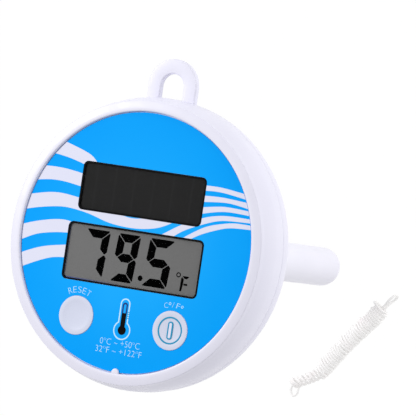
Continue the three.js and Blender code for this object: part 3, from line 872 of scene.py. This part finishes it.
def add_probe():
    """A nearly straight tube with a seal groove near its top and a domed, closed end."""
    top_r = probe_high.x
    tip_r = top_r - 0.1
    tip = probe_low.z
    bore = 5.7
    groove_r = top_r - 0.55
    groove_top = -19.4
    groove_bottom = groove_top - 1.2
    dome_edge = (tip_r, tip + 6)
    knee = (4.2, tip + 0.9)
    floor = tip + 1.6
    floor_edge = (bore - 0.4, floor + 5)
    profile = rounded([
        (bore, probe_high.z, 0.2),
        (top_r, probe_high.z, 0.2),
        (top_r, groove_top, 0),
        (groove_r, groove_top, 0),
        (groove_r, groove_bottom, 0),
        (top_r, groove_bottom, 0),
        (*dome_edge, 0),
        *bend(dome_edge, (tip_r, tip + 1.6), knee, 10),
        *bend(knee, (2.6, tip), (0, tip), 6),
        (0, floor, 0),
        *bend((0, floor), (floor_edge[0], floor), floor_edge, 6),
    ])
    add_piece("probe", turned(profile, 96), probe_white, replaces=["probe_tube"])


# -------------------- printed face

def label_blank(bottom, top):
    """The label's plan between two heights: a disc with its window and button openings."""
    window_gap = 0.12
    button_gap = 0.06
    holes = [window_outline(window, window_gap) for window in (SOLAR, LCD)]
    holes += [circle_outline(BUTTON_R + button_gap, x, y) for x, y in (RESET, UNIT)]
    return prism(bottom, top, circle_outline(LABEL_R, steps=SEGMENTS), *holes)


def add_print(name, meshes, material):
    """Ink on the label: one piece of several flat shapes."""
    return add_piece(name, joined(*meshes), material)


def ink(outer, *holes):
    return prism(LABEL_TOP - INK_ROOT, LABEL_TOP + PRINT, outer, *holes)


def band(upper, lower):
    """Ink between two smooth edges, both given from left to right, kept within the label."""
    spacing = 0.5
    passes = 24
    edges = (evenly(smooth_line(edge), spacing) for edge in (upper, lower))
    upper_edge, lower_edge = (relaxed(edge, passes) for edge in edges)
    outline = upper_edge + lower_edge[::-1]
    return carved(ink(outline), [label_blank(LABEL_TOP - 1, LABEL_TOP + 1)], "INTERSECT")


# Each wave of the printed design: its upper and its lower edge.
LEFT_WAVES = [
    ([(-39, 33.6), (-30, 31.2), (-25, 29.7), (-21.6, 28.2), (-18, 24)],
     [(-43, 28.1), (-35, 27.3), (-30, 26.4), (-22, 24.4)]),
    ([(-46, 22.6), (-36, 22.9), (-30, 22.5), (-22, 21.3)],
     [(-47, 16.6), (-40, 17.9), (-35, 18.2), (-30, 17.8), (-22, 16.6)]),
    ([(-49, 11.0), (-40, 13.1), (-35, 13.8), (-30, 13.6), (-18, 12), (-10, 9.9), (-6, 8.8), (-3, 8.5),
      (0, 8.6), (4, 9.5), (16, 10.5)],
     [(-49, 5.5), (-42, 7.4), (-33, 8.9), (-28, 8.9), (-20, 7.8), (-12, 5.7), (-3, 5.0), (4, 5.5),
      (10, 7.0), (16, 10.2)]),
    ([(-50, -0.4), (-42, 2.3), (-34, 4.1), (-28, 4.4), (-24, 3)],
     [(-50, -6.6), (-44, -3.6), (-40, -1.9), (-32, -0.4), (-24, 0.2)]),
    ([(-50, -11.5), (-43, -8.3), (-36, -5.9), (-24, -3.8)],
     [(-48, -16.2), (-42, -13.2), (-34, -9.9), (-30, -9.2), (-24, -8.8)]),
]
RIGHT_WAVES = [
    ([(22, 23.9), (30, 24.1), (35, 23.7), (43, 22.7)], [(22, 21.9), (30, 22.4), (35, 22.0), (43, 20.9)]),
    ([(22, 20.1), (30, 20.6), (35, 20.5), (45, 19.8)], [(22, 17.7), (30, 18.6), (36, 18.9), (45, 17.6)]),
    ([(22, 15.6), (30, 17.0), (35, 17.5), (46, 17.0)], [(22, 13.0), (30, 15.0), (36, 15.8), (47, 15.4)]),
    ([(8, 3.0), (13, 6.0), (17.7, 8.9), (25.6, 12.3), (30, 13.6), (36, 14.4), (48, 14.3)],
     [(13.5, 3.0), (18, 6.4), (23.5, 9.0), (30, 11.5), (35, 12.6), (48, 13.1)]),
    ([(17, 3.0), (22, 6.3), (28, 9.7), (36, 11.8), (40, 12.3), (49, 12.1)],
     [(20, 3.0), (26, 6.5), (34, 9.5), (38, 10.4), (49, 10.8)]),
]


def keyhole(stem, top, bulb, centre, round_top=True):
    """A thermometer outline: a stem of half width stem above a round bulb."""
    gap = math.asin(stem / bulb)
    outline = []
    steps = 40
    for step in range(steps + 1):
        angle = math.pi / 2 - gap - (2 * math.pi - 2 * gap) * step / steps
        outline.append(Vector((bulb * math.cos(angle), centre + bulb * math.sin(angle))))
    if round_top:
        return outline + dome(stem, top)[::-1]
    return outline + [Vector((-stem, top)), Vector((stem, top))]


def arch(half_width, top, bottom):
    """A round-topped doorway outline."""
    return [Vector((half_width, bottom)), *dome(half_width, top), Vector((-half_width, bottom))]


def add_thermometer_icon():
    """An outlined thermometer with a filled bulb, an empty stem above it and ticks beside it."""
    line = 0.48
    bulb_y = -31.6
    bulb_r = 3.5
    stem = 2.0
    top = -20.1
    outer = keyhole(stem, top, bulb_r, bulb_y)
    inner = keyhole(stem - line, top - line, bulb_r - line, bulb_y)
    add_print("icon_outline", [ink(outer, inner)], pale_ink)
    filled_to = -25.4
    add_print("icon_column", [ink(keyhole(0.95, filled_to, 1.65, bulb_y, round_top=False))], black_ink)
    empty = arch(1.05, -21.6, filled_to)
    hollow = arch(0.5, -22.2, filled_to)
    add_print("icon_stem", [ink(empty + hollow[::-1])], navy_ink)
    first_tick = -24.9
    tick_step = 0.72
    heights = [first_tick - tick_step * step for step in range(4)]
    over_outline = Matrix.Translation((0, 0, 0.01))
    ticks = [placed(ink(rectangle_outline(0.9, 0.26, 0.05, 1.62, y, 1)), over_outline) for y in heights]
    add_print("icon_ticks", ticks, teal_ink)


def letters(text, height, width):
    """Flat lettering as a mesh whose lower left corner is at the origin."""
    data = bpy.data.curves.new("letters", "FONT")
    data.body = text
    data.extrude = 0.5
    data.offset = -0.02         # slims the strokes
    data.resolution_u = 4
    source = add_object("letters", data)
    graph = bpy.context.evaluated_depsgraph_get()
    mesh = bpy.data.meshes.new_from_object(source.evaluated_get(graph))
    bpy.data.objects.remove(source)
    xs = [vertex.co.x for vertex in mesh.vertices]
    ys = [vertex.co.y for vertex in mesh.vertices]
    tall = height / (max(ys) - min(ys))
    wide = width / (max(xs) - min(xs))
    corner = Matrix.Translation((-min(xs), -min(ys), 0))
    return placed(mesh, Matrix.Diagonal((wide, tall, PRINT + INK_ROOT, 1)) @ corner)


def on_label(mesh, x, y, turn=0.0):
    lift = LABEL_TOP + (PRINT - INK_ROOT) / 2
    return placed(mesh, Matrix.Translation((x, y, lift)) @ Matrix.Rotation(turn, 4, "Z"))


def around_button(centre, radius, angle):
    """A place at a radius from a button's centre, at an angle in degrees from straight up."""
    turn = math.radians(angle)
    return Vector(centre) + radius * Vector((-math.sin(turn), math.cos(turn)))


def standing_letter(letter, height, width, centre, radius, angle):
    """A letter that stands on a circle around a button, at an angle in degrees from straight up."""
    shape = placed(letters(letter, height, width), Matrix.Translation((-width / 2, 0, 0)))
    place = around_button(centre, radius, angle)
    return on_label(shape, place.x, place.y, math.radians(angle))


def degree_ring(x, y):
    return ink(circle_outline(0.5, x, y, 20), circle_outline(0.3, x, y, 20))


def add_lettering():
    """RESET and C/F in arcs over the two buttons, and the range in both units below the icon."""
    angles = [12.4 * step for step in (2, 1, 0, -1, -2)]
    reset_marks = [
        standing_letter(letter, 2.15, 1.42, RESET, 8.2, angle) for letter, angle in zip("RESET", angles)]
    add_print("reset_lettering", reset_marks, pale_ink)
    unit_letters = [("C", 1.45, 19.5), ("/", 0.85, 1.5), ("F", 1.3, -11.5)]
    unit_marks = [
        standing_letter(letter, 1.9, width, UNIT, 8.25, angle) for letter, width, angle in unit_letters]
    unit_marks += [degree_ring(*around_button(UNIT, 9.6, angle)) for angle in (9.5, -21.5)]
    add_print("unit_lettering", unit_marks, pale_ink)
    rows = [("0ºC ~ +50ºC", -8.2, -37.4, 16.4), ("32ºF ~ +122ºF", -9.6, -40.4, 19)]
    range_marks = [on_label(letters(text, 2.2, width), x, y) for text, x, y, width in rows]
    add_print("range_lettering", range_marks, pale_ink)


def add_face():
    blank = label_blank(LABEL_BOTTOM, LABEL_TOP)
    add_piece("label", blank, label_blue, replaces=["face_label"])
    add_print("waves_left", [band(*edges) for edges in LEFT_WAVES], white_ink)
    add_print("waves_right", [band(*edges) for edges in RIGHT_WAVES], white_ink)
    add_thermometer_icon()
    add_lettering()


# -------------------- windows and display

def add_window(name, window):
    """A window's black border and the clear pane inside it."""
    node_frame, node_pane = f"{name}_frame", f"{name}_window"
    low, high = node_box(node_frame)
    inner_corner = WINDOW_CORNER - FRAME_LINE
    inner = window_outline(window, -FRAME_LINE, inner_corner)
    ring = prism(low.z, high.z, window_outline(window), inner)
    add_piece(f"{name}_border", ring, black_gloss, replaces=[node_frame], edge=0.22)
    pane_top = node_box(node_pane)[1].z
    pane_thickness = 0.25
    outline = window_outline(window, -FRAME_LINE - FIT, inner_corner)
    sheet = prism(pane_top - pane_thickness, pane_top, outline)
    add_piece(f"{name}_pane", sheet, pane_clear, replaces=[node_pane], edge=0.08)


def backed_sheet(window, low, high):
    """A thin film that reaches under the window's frame, with its thicker plate below."""
    film_thickness = 0.05
    film = prism(FILM_TOP - film_thickness, FILM_TOP, window_outline(window, -0.05))
    plate = prism(low.z, high.z, rectangle_outline(high.x - low.x, high.y - low.y, 0.3, 0, window[2]))
    return joined(film, plate)


def segment_shapes(width, height, thick):
    """The seven segments of a digit, named a to g clockwise from the top, with g across the middle."""
    middle = height / 2
    left, right = thick + 0.1, width - thick - 0.1      # the inner ends of the level segments
    upper = [
        (0.7, height), (width - 0.7, height), (width - 0.45, height - 0.35),
        (right, height - thick + 0.1), (left, height - thick + 0.1), (0.45, height - 0.35),
    ]
    upper_left = [
        (0, height - 1.1), (0.25, height - 0.65), (thick, height - thick - 0.2),
        (thick, middle + thick / 2 + 0.35),
        (1.25, middle + 0.3), (0.75, middle + 0.25), (0, middle + 1.0),
    ]
    across = [
        (1.25, middle), (left, middle + thick / 2), (right, middle + thick / 2),
        (width - 1.25, middle), (right, middle - thick / 2), (left, middle - thick / 2),
    ]

    def side_to_side(shape):
        return [(width - x, y) for x, y in shape]

    def upside_down(shape):
        return [(x, height - y) for x, y in shape]

    lower_left = upside_down(upper_left)
    return {
        "a": upper, "b": side_to_side(upper_left), "c": side_to_side(lower_left),
        "d": upside_down(upper), "e": lower_left, "f": upper_left, "g": across,
    }


DIGIT_HEIGHT = 17.3
DIGIT_FOOT = -14.65
DIGIT_SLANT = 0.07
DIGIT_THICK = 3.05
PARALLAX = 0.3                  # the display lies below the label, so its marks sit further left
DIGITS = [("abc", -20.8, 10.0), ("abcdfg", -7.45, 9.2), ("acdfg", 5.6, 10.3)]   # segments, left, width


def slanted(x, y):
    """A place on the display from one measured in a digit row that doesn't slope."""
    return Vector((x + DIGIT_SLANT * (y - DIGIT_HEIGHT / 2) - PARALLAX, y + DIGIT_FOOT))


def lit(outline, *holes):
    """A dark mark on the display."""
    return prism(FILM_TOP - 0.005, FILM_TOP + 0.01, outline, *holes)


def add_digits():
    """The reading 79.5, a degree ring and a small F."""
    shapes = []
    for segments, left, width in DIGITS:
        template = segment_shapes(width, DIGIT_HEIGHT, DIGIT_THICK)
        for segment in segments:
            corners = [slanted(left + x, y) for x, y in template[segment]]
            shapes.append(lit(rounded([(*corner, 0.12) for corner in corners], 3)))
    shapes.append(lit(circle_outline(1.0, 4.3 - PARALLAX, -12.2, 32)))
    ring_centre = (19.6 - PARALLAX, -8.85)
    shapes.append(lit(circle_outline(0.92, *ring_centre, 24), circle_outline(0.55, *ring_centre, 24)))
    small_f = [
        [(20.75, -14.6), (21.5, -14.5), (21.85, -12.2), (22, -10.2), (21.2, -9.4), (20.85, -9.9)],
        [(21.4, -9.0), (24.1, -9.0), (23.2, -9.95), (22.3, -9.95), (21.4, -9.25)],
        [(22.1, -11.65), (23.5, -11.65), (23.75, -12), (23.4, -12.35), (22.05, -12.35)],
    ]
    shapes += [lit([Vector((x - PARALLAX, y)) for x, y in outline]) for outline in small_f]
    add_piece("lcd_digits", joined(*shapes), lcd_black)


def add_windows():
    add_window("solar", SOLAR)
    add_window("lcd", LCD)
    cell = backed_sheet(SOLAR, cell_low, cell_high)
    add_piece("solar_sheet", cell, solar_dark, replaces=["solar_cell"])
    glass = backed_sheet(LCD, glass_low, glass_high)
    add_piece("lcd_sheet", glass, lcd_grey, replaces=["lcd_glass"])
    add_digits()


# -------------------- push buttons

def button_cap(node, centre):
    """A flanged key with a shallow dish in its top."""
    low = node_box(node)[0].z
    stem_r = 2
    flange_r = BUTTON_R + BUTTON_FLANGE
    flange_top = PANEL_BOTTOM - SHELL_GAP
    flange_bottom = flange_top - 1
    rounding = 0.2
    edge = (BUTTON_R - 1.6, BUTTON_TOP)
    profile = rounded([
        (0, low, 0),
        (stem_r, low, rounding),
        (stem_r, flange_bottom, rounding),
        (flange_r, flange_bottom, rounding),
        (flange_r, flange_top, rounding),
        (BUTTON_R, flange_top, 0),
        (BUTTON_R, BUTTON_TOP, 0.18),
        (*edge, 0),
        *bend(edge, (BUTTON_R - 3.4, BUTTON_TOP - 0.28), (0, BUTTON_TOP - 0.3), 12),
    ])
    return turned(profile, 96, *centre)


def add_buttons():
    """Both caps, and the ring and bar that are printed in the dish of the unit cap."""
    for name, centre in (("reset", RESET), ("unit", UNIT)):
        cap = button_cap(f"{name}_button", centre)
        add_piece(f"{name}_cap", cap, key_white, f"{name}_key", [f"{name}_button"])
    low = BUTTON_TOP - 0.35
    high = BUTTON_TOP - 0.06
    ring_r = 4.95
    ring_line = 0.57
    ring = prism(low, high, circle_outline(ring_r, *UNIT), circle_outline(ring_r - ring_line, *UNIT))
    bar_outer = rectangle_outline(2.1, 6.5, 1.04, *UNIT)
    bar_inner = rectangle_outline(1.05, 5.5, 0.52, *UNIT)
    bar = prism(low, high, bar_outer, bar_inner)
    add_piece("unit_mark", joined(ring, bar), teal_ink, "unit_key")
    add_piece("unit_mark_fill", prism(low, high, bar_inner), white_ink, "unit_key")


# -------------------- inner parts

INNER_FINISHES = [
    (rubber_grey, ["shell_seal", "probe_seal", "reset_seal", "unit_seal",
                   "zebra_strip_upper", "zebra_strip_lower", "solar_pad"]),
    (inner_white, ["lcd_carrier"]),
    (black_matt, ["solar_bracket", "cell_holder", "storage_capacitor",
                  "reset_plunger", "reset_switch", "unit_plunger", "unit_switch"]),
    (foil, ["lcd_reflector"]),
    (board_green, ["main_board"]),
    (epoxy_black, ["chip_blob", "sensor_plug", "thermistor"]),
    (steel, ["backup_cell", "clock_crystal", "ballast_weight", "bracket_screw_1", "bracket_screw_2",
             "board_screw_1", "board_screw_2", "board_screw_3", "board_screw_4"]),
    (pvc_red, ["sensor_lead_red", "solar_lead_red"]),
    (pvc_black, ["sensor_lead_black", "solar_lead_black"]),
]


def finish_inner_parts():
    """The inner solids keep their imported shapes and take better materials."""
    for material, nodes in INNER_FINISHES:
        for node in nodes:
            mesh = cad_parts[node].data
            mesh.materials.clear()
            mesh.materials.append(material)


# -------------------- floor and light

def add_floor():
    """A light table below the probe's tip: an evenly lit white panel."""
    finish = Finish("floor", 0.9, Specular_IOR_Level=0, Emission_Strength=1)
    finish.mottled("#0a0a0a", "#0e0e0e", 3)
    finish.shader.inputs["Emission Color"].default_value = (1, 1, 1, 1)
    half = 3
    gap = 0.0002
    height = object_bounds()[0].z - gap
    mesh = bpy.data.meshes.new("floor")
    corners = [(x, y, height) for x, y in ((-half, -half), (half, -half), (half, half), (-half, half))]
    mesh.from_pydata(corners, [], [(0, 1, 2, 3)])
    mesh.materials.append(finish.material)
    add_object("floor", mesh)


def add_light(name, direction, distance, size, power):
    """A soft square light that looks at the object from a direction."""
    data = bpy.data.lights.new(name, "AREA")
    data.size = size
    data.energy = power
    light = add_object(name, data)
    towards = Vector(direction).normalized()
    light.location = towards * distance
    light.rotation_mode = "QUATERNION"
    light.rotation_quaternion = towards.to_track_quat("Z", "Y")
    light.visible_camera = False


def add_lights():
    world = bpy.data.worlds.new("studio")
    world.use_nodes = True
    sky = world.node_tree.nodes["Background"]
    sky.inputs["Color"].default_value = (1, 1, 1, 1)
    sky.inputs["Strength"].default_value = 0.6
    bpy.context.scene.world = world
    add_light("key", (-0.68, 0.24, 0.69), 1.2, 0.35, 8.3)
    add_light("side", (0.8, 0.64, 0), 0.9, 0.6, 3.9)
    bpy.context.scene.view_settings.view_transform = "Standard"


# -------------------- the scene

add_camera()
add_cord()
add_bezel()
add_rear_shell()
add_probe()
add_face()
add_windows()
add_buttons()
finish_inner_parts()
add_floor()
add_lights()
